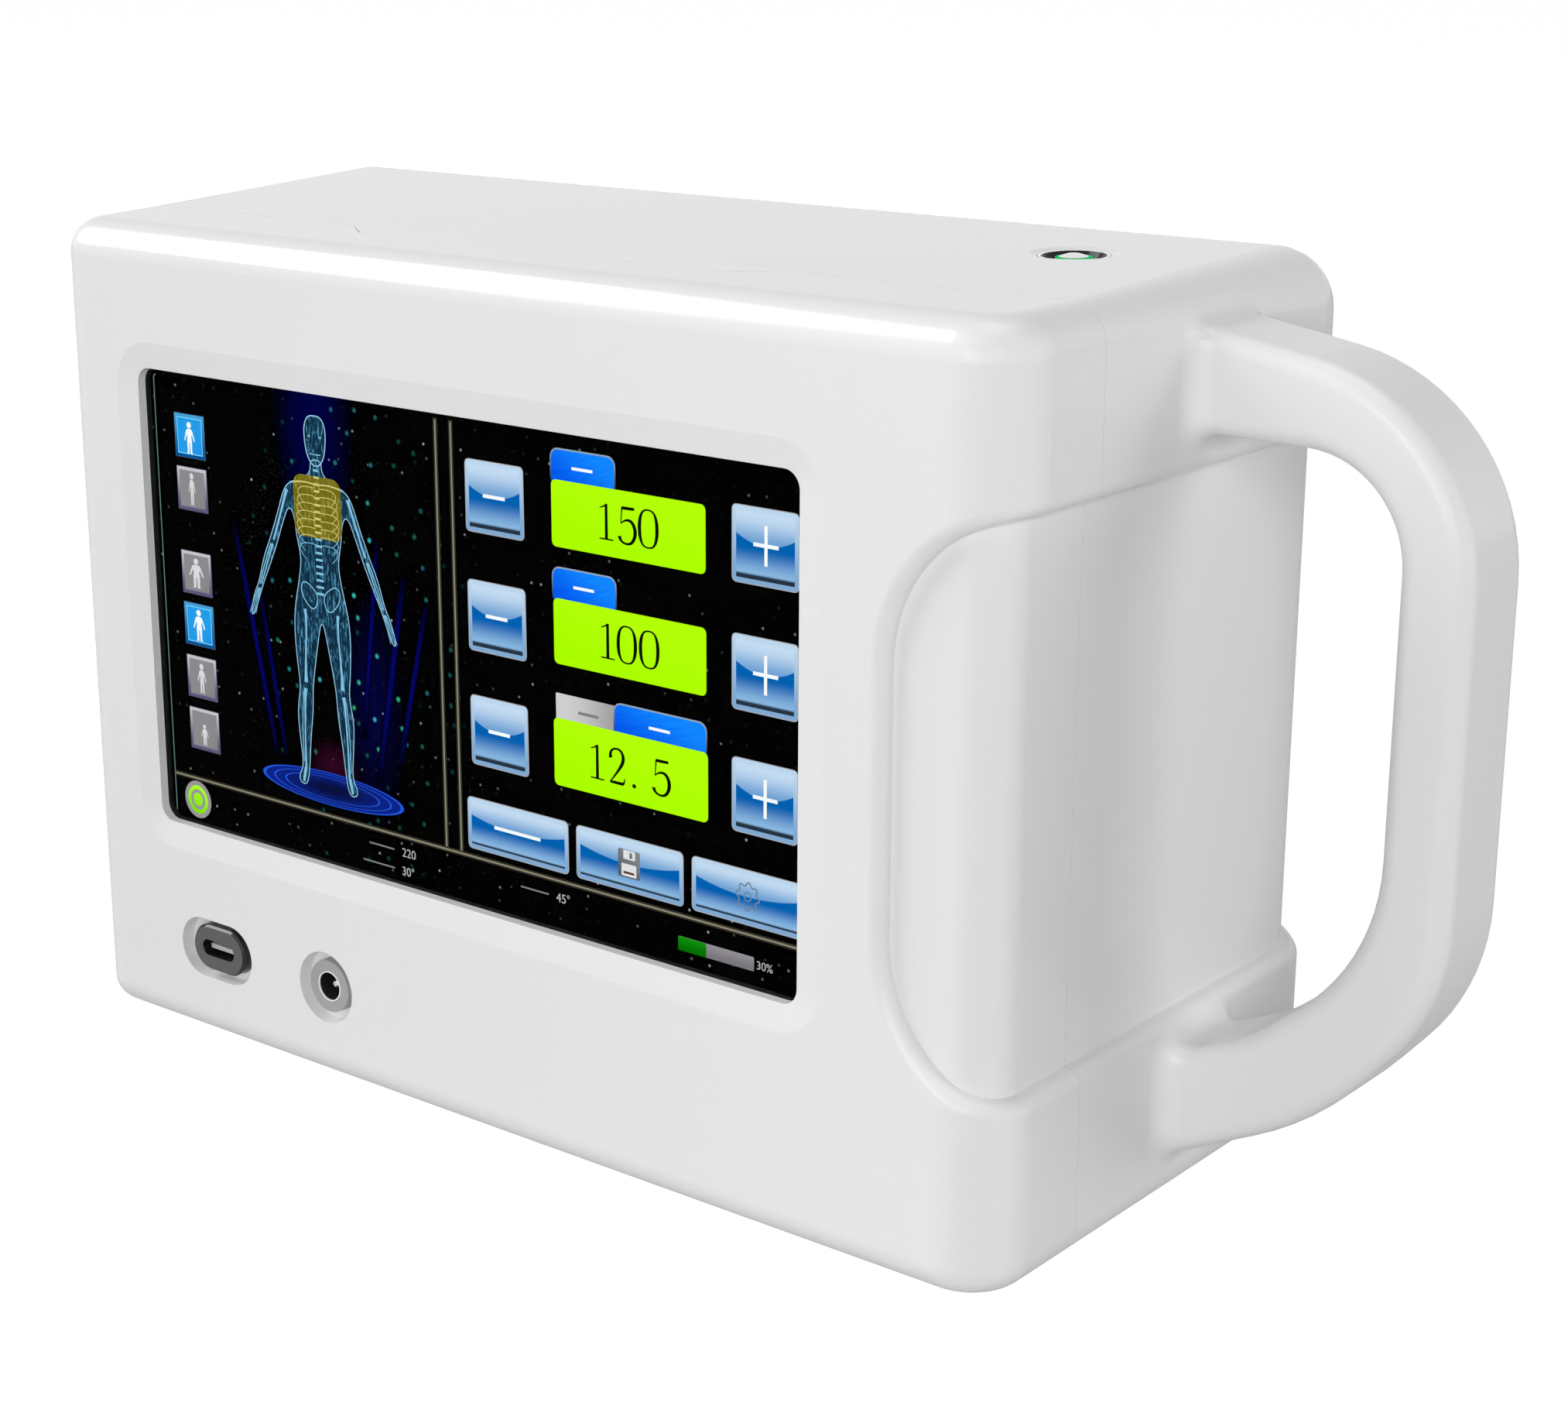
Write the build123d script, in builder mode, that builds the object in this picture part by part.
from build123d import *
from math import atan2, cos, sin
import os

os.makedirs("parts", exist_ok=True)

# Portable x-ray machine: a box with a touch screen in front and a D-handle on one end.
# X runs along the screen to the handle, Y from the screen to the beam port, Z up from the table.

# Housing, as seen from the screen side
front_length = 215.2
depth = 106.2
seam_from_front = 25.4
seam_gap = 0.15
back_rise = 1.6
end_flare = 28.6

# Roundings of the housing
front_left_radius = 7.2
front_right_radius = 11.0
top_radius_front = 6.6
top_radius_back = 10.6
back_radius = 10.8
bottom_radius = 5.5
corner_room = 1.0

# Screen, its glass and the sloped frame round it
screen_width = 156.5
screen_height = 88.5
screen_from_end = 39.3
screen_from_top = 26.6
below_screen = 42.65
screen_corner = 3.0
glass_set_back = 2.4
glass_thickness = 1.1
glass_clearance = 0.15
frame_margin = 5.1
frame_drop = 0.9
frame_corner = 9.0
display_gap = 0.5
panel_thickness = 2.4
panel_inset = 0.6

# Grip recess that runs round the handle end
recess_depth = 3.1
recess_low = 33.1
recess_from_top = 29.75
recess_reach = 22.3
recess_corner = 25.0
recess_lip = 2.4

# Handle: heights count up from the base and drops down from the top at the seam; the heel's
# share is of the elbow's height, and the root falls below the heel
handle_reach = 49.1
handle_thickness = 12.35
handle_from_front = 51.6
handle_width = 20.0
handle_rounding = 3.2
handle_blend = 4.0
root_embed = 6.0
top_root_drop = 5.85
top_corner_drop = 14.2
top_corner_radius = 35.0
elbow_height = 47.1
elbow_radius = 38.0
heel_reach = 27.6
heel_height = 22.3
heel_radius = 60.0
low_root_height = 8.8
inner_elbow_height = 52.6
inner_elbow_radius = 37.0
inner_heel_share = 0.6559
inner_heel_reach = 14.9
inner_heel_radius = 25.0
inner_root_fall = 6.8
inner_corner_drop = 24.05
inner_corner_radius = 17.5
inner_root_drop = 23.45

# Tab of the rear shell in the top seam
tab_reach = 6.8
tab_base = 102.5
tab_tip = 85.0
tab_from_end = 110.95
tab_depth = 4.0

# Ports under the screen
port_height = 18.6
usb_from_left = 14.9
usb_recess_width = 20.0
usb_recess_height = 12.0
usb_body_width = 14.6
usb_body_height = 9.3
usb_body_chamfer = 0.45
usb_slot_width = 9.0
usb_slot_height = 3.2
usb_slot_depth = 6.2
usb_tongue_width = 6.7
usb_tongue_height = 0.9
usb_tongue_short = 1.2
usb_face_drop = 0.4
jack_from_left = 45.5
jack_recess_diameter = 14.1
jack_barrel_diameter = 10.15
jack_liner_diameter = 6.2
jack_bore_diameter = 5.45
jack_bore_depth = 9.0
jack_pin_diameter = 2.0
jack_pin_length = 7.5
jack_pin_chamfer = 0.5
jack_face_drop = 0.95
port_recess_depth = 3.0
port_seat_depth = 8.0
fit_clearance = 0.1

# Power button on top
button_from_end = 33.9
button_from_seam = 43.7
dish_diameter = 15.6
bezel_diameter = 12.2
dish_depth = 0.4
bezel_height = 3.2
bezel_rim = 0.4
bezel_floor_diameter = 7.0
light_ring_diameter = 6.3
cap_diameter = 5.1
cap_drop = 0.1
cap_flat_diameter = 2.2
cap_shoulder = 0.45
light_drop = 0.65
button_seat_depth = 7.0
button_clearance = 0.15

# Beam port in the back
port_width = 84.0
port_stand = 3.0
port_corner = 10.0
port_edge = 1.2
port_from_end = 107.6
port_centre_height = 80.0
window_width = 60.0
window_corner = 5.0
window_thickness = 2.0
window_drop = 1.0
cavity_depth = 14.0
plate_thickness = 2.0
aperture_width = 34.0
port_lip = 4.0

# Feet and stand socket
foot_height = 1.2
foot_diameter = 12.0
foot_recess = 1.0
foot_inset = 17.0
foot_front_inset = 13.0
foot_rear_inset = 24.0
stand_from_back = 48.0
insert_diameter = 9.0
insert_length = 10.0
socket_diameter = 5.3
socket_depth = 9.0

# Derived places
height_at_seam = screen_from_top + screen_height + below_screen
height_at_back = height_at_seam + back_rise
recess_high = height_at_seam - recess_from_top
flare_angle = atan2(end_flare, depth)
corner_length = back_radius * (1 + sin(flare_angle)) / cos(flare_angle)
overall_length = front_length + end_flare - (corner_length - back_radius) + handle_reach
end_x = overall_length / 2 - handle_reach
front_left_x = end_x - front_length
front_y = -(depth + port_stand) / 2
back_y = front_y + depth
seam_y = front_y + seam_from_front
rear_y = seam_y + seam_gap
block_y = back_y - corner_length - corner_room
base_z = foot_height
seam_top = base_z + height_at_seam
back_top = base_z + height_at_back
top_slope = (back_top - seam_top) / (back_y - seam_y)


def left_at(y):
    """The x of the flared left wall at a depth y."""
    return front_left_x - end_flare * (y - front_y) / depth


def top_at(y):
    """The height of the rising top at a depth y behind the seam."""
    return seam_top + top_slope * (y - seam_y)


def across(y):
    """A plane square to Y at a depth y, with X to the right and Z up."""
    return Plane.XZ.offset(-y)


screen_x = end_x - screen_from_end - screen_width / 2
screen_z = seam_top - screen_from_top - screen_height / 2
screen_left = screen_x - screen_width / 2
glass_y = front_y + glass_set_back
panel_y = glass_y + glass_thickness + display_gap
pocket_floor_y = panel_y + panel_thickness
usb_x = screen_left + usb_from_left
jack_x = screen_left + jack_from_left
port_z = base_z + port_height
usb_face_y = front_y + usb_face_drop
jack_face_y = front_y + jack_face_drop
port_floor_y = front_y + port_recess_depth
port_seat_y = port_floor_y + port_seat_depth
handle_y = front_y + handle_from_front
handle_out = end_x + handle_reach
handle_in = handle_out - handle_thickness
button_x = end_x - button_from_end
button_y = seam_y + button_from_seam
button_top = top_at(button_y)
button_plane = Plane(origin=(button_x, button_y, button_top), x_dir=(1, 0, 0), z_dir=(0, -top_slope, 1))
button_side = Plane(origin=button_plane.origin, x_dir=button_plane.x_dir, z_dir=-button_plane.y_dir)
button_axis = Axis(button_plane.origin, button_plane.z_dir)
beam_x = end_x - port_from_end
beam_z = base_z + port_centre_height
spigot_width = window_width + 2 * port_lip
stand_y = back_y - stand_from_back
front_feet = (
    (front_left_x + foot_inset, front_y + foot_front_inset),
    (end_x - foot_inset, front_y + foot_front_inset),
)
rear_feet = (
    (left_at(back_y) + foot_rear_inset, back_y - foot_inset),
    (end_x - foot_inset, back_y - foot_inset),
)

# Front block of the housing, up to the seam, with its own roundings
with BuildPart() as front_block:
    with BuildSketch(Plane.XY.offset(base_z)):
        with BuildLine():
            Polyline(
                (front_left_x, front_y),
                (end_x, front_y),
                (end_x, seam_y),
                (left_at(seam_y), seam_y),
                close=True,
            )
        make_face()
    extrude(amount=height_at_seam)
    front_left = front_block.edges().filter_by(Axis.Z).group_by(Axis.Y)[0].sort_by(Axis.X)[0]
    fillet(front_left, front_left_radius)
    front_right = front_block.edges().filter_by(Axis.Z).group_by(Axis.Y)[0].sort_by(Axis.X)[-1]
    fillet(front_right, front_right_radius)
    top_rim = front_block.faces().sort_by(Axis.Z)[-1].edges().sort_by(Axis.Y)[:-1]
    fillet(top_rim, top_radius_front)
    bottom_rim = front_block.faces().sort_by(Axis.Z)[0].edges().sort_by(Axis.Y)[:-1]
    fillet(bottom_rim, bottom_radius)

# Rear block, just deep enough for the rounded back corners of the flared plan
with BuildPart() as rear_block:
    with BuildSketch(Plane.YZ.offset(left_at(back_y))):
        with BuildLine():
            Polyline(
                (block_y, base_z),
                (back_y, base_z),
                (back_y, back_top),
                (block_y, top_at(block_y)),
                close=True,
            )
        make_face()
    extrude(amount=end_x - left_at(back_y))
    with BuildSketch(Plane.XY.offset(base_z)):
        with BuildLine():
            Polyline(
                (left_at(block_y), block_y),
                (end_x, block_y),
                (end_x, back_y),
                (left_at(back_y), back_y),
                close=True,
            )
        make_face()
    extrude(amount=height_at_seam + height_at_back, mode=Mode.INTERSECT)
    fillet(rear_block.edges().filter_by(Axis.Z).group_by(Axis.Y)[-1], back_radius)
    top_rim = rear_block.faces().sort_by(Axis.Z)[-1].edges().sort_by(Axis.Y)[1:]
    fillet(top_rim, top_radius_back)
    bottom_rim = rear_block.faces().sort_by(Axis.Z)[0].edges().sort_by(Axis.Y)[1:]
    fillet(bottom_rim, bottom_radius)

# Plan that is left inside the grip recess, and the cutter for what lies outside it
recess_x = end_x - recess_reach
recess_far = end_x + 2 * recess_depth
with BuildPart() as recess_core:
    with BuildSketch(Plane.XY.offset(base_z)) as core_plan:
        with BuildLine():
            Polyline(
                (recess_x - recess_corner, front_y + recess_depth),
                (end_x - recess_depth, front_y + recess_depth),
                (end_x - recess_depth, back_y - recess_depth),
                (recess_x - recess_corner, back_y - recess_depth),
                close=True,
            )
        make_face()
        front_corner = core_plan.vertices().group_by(Axis.X)[-1].sort_by(Axis.Y)[0]
        fillet(front_corner, front_right_radius - recess_depth)
        back_corner = core_plan.vertices().sort_by(Axis.Y)[-2:].sort_by(Axis.X)[-1]
        fillet(back_corner, back_radius - recess_depth)
    extrude(amount=height_at_back)

with BuildPart() as recess_cutter:
    with BuildSketch(across(front_y - recess_depth)) as recess_side:
        with Locations(((recess_x + recess_far) / 2, base_z + (recess_low + recess_high) / 2)):
            Rectangle(recess_far - recess_x, recess_high - recess_low)
        fillet(recess_side.vertices().group_by(Axis.X)[0], recess_corner)
    extrude(amount=-(depth + 2 * recess_depth))
    add(recess_core.part, mode=Mode.SUBTRACT)

# Whole housing: the two blocks, the tapering body between them and the rounded grip recess
with BuildPart() as housing:
    add(front_block.part)
    add(rear_block.part)
    seam_face = front_block.faces().sort_by(Axis.Y)[-1]
    block_face = rear_block.faces().sort_by(Axis.Y)[0]
    loft(sections=[seam_face, block_face], ruled=True)
    plain_edges = housing.edges()
    add(recess_cutter.part, mode=Mode.SUBTRACT)
    recess_edges = (housing.edges() - plain_edges).filter_by_position(
        Axis.Z, base_z + recess_low - fit_clearance, base_z + recess_high + fit_clearance
    )
    fillet(recess_edges.filter_by(lambda e: e.distance_to(recess_core.part) > recess_depth / 2), recess_lip)


def tab_form(room):
    """The tab of the top seam, larger by a gap all round."""
    tab_x = end_x - tab_from_end
    with BuildPart() as form:
        with BuildSketch(Plane.XY.offset(seam_top - tab_depth - room)):
            with BuildLine():
                Polyline(
                    (tab_x - tab_base / 2 - room, rear_y),
                    (tab_x - tab_tip / 2 - room, rear_y - tab_reach - room),
                    (tab_x + tab_tip / 2 + room, rear_y - tab_reach - room),
                    (tab_x + tab_base / 2 + room, rear_y),
                    close=True,
                )
            make_face()
        extrude(amount=tab_depth + room)
    return form.part


# Front shell: screen frame, port recesses and the front part of the grip recess
with BuildPart() as front_shell:
    add(housing.part)
    split(bisect_by=across(seam_y), keep=Keep.TOP)
    with BuildSketch(across(front_y)):
        with Locations((screen_x, screen_z)):
            RectangleRounded(
                screen_width + 2 * frame_margin,
                screen_height + 2 * frame_margin,
                frame_corner,
            )
    with BuildSketch(across(front_y + frame_drop)):
        with Locations((screen_x, screen_z)):
            RectangleRounded(
                screen_width + 2 * glass_clearance,
                screen_height + 2 * glass_clearance,
                screen_corner + glass_clearance,
            )
    loft(ruled=True, mode=Mode.SUBTRACT)
    with BuildSketch(across(front_y)):
        with Locations((screen_x, screen_z)):
            RectangleRounded(
                screen_width + 2 * glass_clearance,
                screen_height + 2 * glass_clearance,
                screen_corner + glass_clearance,
            )
    extrude(amount=-(pocket_floor_y - front_y), mode=Mode.SUBTRACT)
    with BuildSketch(across(front_y)):
        with Locations((usb_x, port_z)):
            SlotOverall(usb_recess_width, usb_recess_height)
        with Locations((jack_x, port_z)):
            Circle(jack_recess_diameter / 2)
    extrude(amount=-port_recess_depth, mode=Mode.SUBTRACT)
    with BuildSketch(across(port_floor_y)):
        with Locations((usb_x, port_z)):
            SlotOverall(usb_body_width + 2 * fit_clearance, usb_body_height + 2 * fit_clearance)
        with Locations((jack_x, port_z)):
            Circle(jack_barrel_diameter / 2 + fit_clearance)
    extrude(amount=-port_seat_depth, mode=Mode.SUBTRACT)
    with BuildSketch(Plane.XY.offset(base_z)):
        with Locations(*front_feet):
            Circle(foot_diameter / 2 + fit_clearance)
    extrude(amount=foot_recess, mode=Mode.SUBTRACT)
    add(tab_form(seam_gap), mode=Mode.SUBTRACT)
front_shell.part.label = "front_shell"
export_step(front_shell.part, "parts/front_shell.step")


def behind_wall(corner, root_z):
    """The point inside the wall on the line from a corner through its root on the end wall."""
    rise = (corner[1] - root_z) / (corner[0] - end_x)
    return (end_x - root_embed, root_z - rise * root_embed)


# Handle: a flat-sided loop whose two roots run into the end wall
top_corner = (handle_out, seam_top - top_corner_drop)
elbow = (handle_out, base_z + elbow_height)
heel = (end_x + heel_reach, base_z + heel_height)
inner_elbow = (handle_in, base_z + inner_elbow_height)
inner_heel = (end_x + inner_heel_reach, base_z + inner_elbow_height * inner_heel_share)
inner_corner = (handle_in, seam_top - inner_corner_drop)
with BuildPart() as handle_form:
    with BuildSketch(across(handle_y)):
        with BuildLine():
            FilletPolyline(
                behind_wall(top_corner, seam_top - top_root_drop),
                top_corner,
                elbow,
                heel,
                behind_wall(heel, base_z + low_root_height),
                behind_wall(inner_heel, inner_heel[1] - inner_root_fall),
                inner_heel,
                inner_elbow,
                inner_corner,
                behind_wall(inner_corner, seam_top - inner_root_drop),
                radius=(
                    0.0, top_corner_radius, elbow_radius, heel_radius, 0.0,
                    0.0, inner_heel_radius, inner_elbow_radius, inner_corner_radius, 0.0,
                ),
                close=True,
            )
        make_face()
    extrude(amount=-handle_width)
    long_edges = handle_form.faces().filter_by(Axis.Y).edges().filter_by_position(
        Axis.X, end_x - root_embed / 2, handle_out, inclusive=(False, True)
    )
    fillet(long_edges, handle_rounding)

# Rear shell: body with the flared left end, handle, button dish and beam port
with BuildPart() as rear_shell:
    add(housing.part)
    split(bisect_by=across(rear_y), keep=Keep.BOTTOM)
    add(tab_form(0))
    body_edges = rear_shell.edges()
    add(handle_form.part)
    root_edges = (rear_shell.edges() - body_edges).filter_by_position(
        Axis.X, end_x - fit_clearance, end_x + fit_clearance
    )
    fillet(root_edges, handle_blend)
    # Dish and seat of the power button, square to the sloping top
    with BuildSketch(button_plane):
        Circle(dish_diameter / 2)
    with BuildSketch(button_plane.offset(-dish_depth)):
        Circle(bezel_diameter / 2 + button_clearance)
    loft(ruled=True, mode=Mode.SUBTRACT)
    with BuildSketch(button_plane):
        Circle(bezel_diameter / 2 + button_clearance)
    extrude(amount=-button_seat_depth, mode=Mode.SUBTRACT)
    # Pocket of the beam port
    with BuildSketch(across(back_y)):
        with Locations((beam_x, beam_z)):
            Rectangle(spigot_width + 2 * fit_clearance, spigot_width + 2 * fit_clearance)
    extrude(amount=cavity_depth, mode=Mode.SUBTRACT)
    # Stand insert's bore and the recesses of the two rear feet
    with BuildSketch(Plane.XY.offset(base_z)):
        with Locations((0, stand_y)):
            Circle(insert_diameter / 2 + fit_clearance)
    extrude(amount=insert_length, mode=Mode.SUBTRACT)
    with BuildSketch(Plane.XY.offset(base_z)):
        with Locations(*rear_feet):
            Circle(foot_diameter / 2 + fit_clearance)
    extrude(amount=foot_recess, mode=Mode.SUBTRACT)
rear_shell.part.label = "rear_shell"
export_step(rear_shell.part, "parts/rear_shell.step")

# Screen: cover glass over the display panel
with BuildPart() as display_glass:
    with BuildSketch(across(glass_y)):
        with Locations((screen_x, screen_z)):
            RectangleRounded(screen_width, screen_height, screen_corner)
    extrude(amount=-glass_thickness)
display_glass.part.label = "display_glass"
export_step(display_glass.part, "parts/display_glass.step")

with BuildPart() as display_panel:
    with BuildSketch(across(panel_y)):
        with Locations((screen_x, screen_z)):
            RectangleRounded(
                screen_width - 2 * panel_inset,
                screen_height - 2 * panel_inset,
                screen_corner - panel_inset,
            )
    extrude(amount=-panel_thickness)
display_panel.part.label = "display_panel"
export_step(display_panel.part, "parts/display_panel.step")

# USB-C socket: oval body with its slot, and the contact tongue inside
slot_floor_y = usb_face_y + usb_slot_depth
with BuildPart() as usb_body:
    with BuildSketch(across(usb_face_y)):
        with Locations((usb_x, port_z)):
            SlotOverall(usb_body_width, usb_body_height)
    extrude(amount=-(port_seat_y - usb_face_y))
    chamfer(usb_body.faces().sort_by(Axis.Y)[0].edges(), usb_body_chamfer)
    with BuildSketch(across(usb_face_y)):
        with Locations((usb_x, port_z)):
            SlotOverall(usb_slot_width, usb_slot_height)
    extrude(amount=-usb_slot_depth, mode=Mode.SUBTRACT)
usb_body.part.label = "usb_body"
export_step(usb_body.part, "parts/usb_body.step")

with BuildPart() as usb_tongue:
    with BuildSketch(across(usb_face_y + usb_tongue_short)):
        with Locations((usb_x, port_z)):
            Rectangle(usb_tongue_width, usb_tongue_height)
    extrude(amount=-(usb_slot_depth - usb_tongue_short))
usb_tongue.part.label = "usb_tongue"
export_step(usb_tongue.part, "parts/usb_tongue.step")

# Power jack: threaded barrel, white liner and centre pin
jack_floor_y = jack_face_y + jack_bore_depth
with BuildPart() as jack_barrel:
    with BuildSketch(across(jack_face_y)):
        with Locations((jack_x, port_z)):
            Circle(jack_barrel_diameter / 2)
    extrude(amount=-(port_seat_y - jack_face_y))
    with BuildSketch(across(jack_face_y)):
        with Locations((jack_x, port_z)):
            Circle(jack_liner_diameter / 2)
    extrude(amount=-jack_bore_depth, mode=Mode.SUBTRACT)
jack_barrel.part.label = "jack_barrel"
export_step(jack_barrel.part, "parts/jack_barrel.step")

with BuildPart() as jack_liner:
    with BuildSketch(across(jack_face_y)):
        with Locations((jack_x, port_z)):
            Circle(jack_liner_diameter / 2 - fit_clearance)
            Circle(jack_bore_diameter / 2, mode=Mode.SUBTRACT)
    extrude(amount=-jack_bore_depth)
jack_liner.part.label = "jack_liner"
export_step(jack_liner.part, "parts/jack_liner.step")

with BuildPart() as jack_pin:
    with BuildSketch(across(jack_floor_y)):
        with Locations((jack_x, port_z)):
            Circle(jack_pin_diameter / 2)
    extrude(amount=jack_pin_length)
    chamfer(jack_pin.faces().sort_by(Axis.Y)[0].edges(), jack_pin_chamfer)
jack_pin.part.label = "jack_pin"
export_step(jack_pin.part, "parts/jack_pin.step")

# Power button: chrome ring with a conical mouth, light ring and cap, all square to the top
with BuildPart() as button_bezel:
    with BuildSketch(button_side):
        with BuildLine():
            Polyline(
                (bezel_floor_diameter / 2, -button_seat_depth),
                (bezel_diameter / 2, -button_seat_depth),
                (bezel_diameter / 2, -dish_depth),
                (bezel_diameter / 2 - bezel_rim, -dish_depth),
                (bezel_floor_diameter / 2, -dish_depth - bezel_height),
                close=True,
            )
        make_face()
    revolve(axis=button_axis)
button_bezel.part.label = "button_bezel"
export_step(button_bezel.part, "parts/button_bezel.step")

with BuildPart() as button_light:
    with BuildSketch(button_plane.offset(-button_seat_depth)):
        Circle(light_ring_diameter / 2)
        Circle(cap_diameter / 2 + button_clearance, mode=Mode.SUBTRACT)
    extrude(amount=button_seat_depth - light_drop)
button_light.part.label = "button_light"
export_step(button_light.part, "parts/button_light.step")

with BuildPart() as button_cap:
    with BuildSketch(button_side):
        with BuildLine():
            Polyline(
                (0, -button_seat_depth),
                (cap_diameter / 2, -button_seat_depth),
                (cap_diameter / 2, -cap_drop - cap_shoulder),
                (cap_flat_diameter / 2, -cap_drop),
                (0, -cap_drop),
                close=True,
            )
        make_face()
    revolve(axis=button_axis)
button_cap.part.label = "button_cap"
export_step(button_cap.part, "parts/button_cap.step")

# Beam port: frame, clear window and the aperture plate behind it
with BuildPart() as port_frame:
    with BuildSketch(across(back_y)):
        with Locations((beam_x, beam_z)):
            RectangleRounded(port_width, port_width, port_corner)
    extrude(amount=-port_stand)
    chamfer(port_frame.faces().sort_by(Axis.Y)[-1].edges(), port_edge)
    with BuildSketch(across(back_y)):
        with Locations((beam_x, beam_z)):
            Rectangle(spigot_width, spigot_width)
    extrude(amount=cavity_depth - plate_thickness)
    with BuildSketch(across(back_y + port_stand)):
        with Locations((beam_x, beam_z)):
            RectangleRounded(window_width, window_width, window_corner)
    extrude(amount=port_stand + cavity_depth - plate_thickness, mode=Mode.SUBTRACT)
port_frame.part.label = "port_frame"
export_step(port_frame.part, "parts/port_frame.step")

with BuildPart() as port_window:
    with BuildSketch(across(back_y + port_stand - window_drop)):
        with Locations((beam_x, beam_z)):
            RectangleRounded(
                window_width - 2 * fit_clearance,
                window_width - 2 * fit_clearance,
                window_corner - fit_clearance,
            )
    extrude(amount=window_thickness)
port_window.part.label = "port_window"
export_step(port_window.part, "parts/port_window.step")

with BuildPart() as aperture_plate:
    with BuildSketch(across(back_y - cavity_depth)):
        with Locations((beam_x, beam_z)):
            Rectangle(spigot_width, spigot_width)
            RectangleRounded(aperture_width, aperture_width, window_corner, mode=Mode.SUBTRACT)
    extrude(amount=-plate_thickness)
aperture_plate.part.label = "aperture_plate"
export_step(aperture_plate.part, "parts/aperture_plate.step")

# Four rubber feet pressed into the underside
with BuildPart() as feet:
    with BuildSketch(Plane.XY):
        with Locations(*front_feet, *rear_feet):
            Circle(foot_diameter / 2)
    extrude(amount=foot_height + foot_recess)
feet.part.label = "feet"
export_step(feet.part, "parts/feet.step")

# Brass insert for a stand screw in the underside
with BuildPart() as stand_insert:
    with BuildSketch(Plane.XY.offset(base_z)):
        with Locations((0, stand_y)):
            Circle(insert_diameter / 2)
    extrude(amount=insert_length)
    with BuildSketch(Plane.XY.offset(base_z)):
        with Locations((0, stand_y)):
            Circle(socket_diameter / 2)
    extrude(amount=socket_depth, mode=Mode.SUBTRACT)
stand_insert.part.label = "stand_insert"
export_step(stand_insert.part, "parts/stand_insert.step")
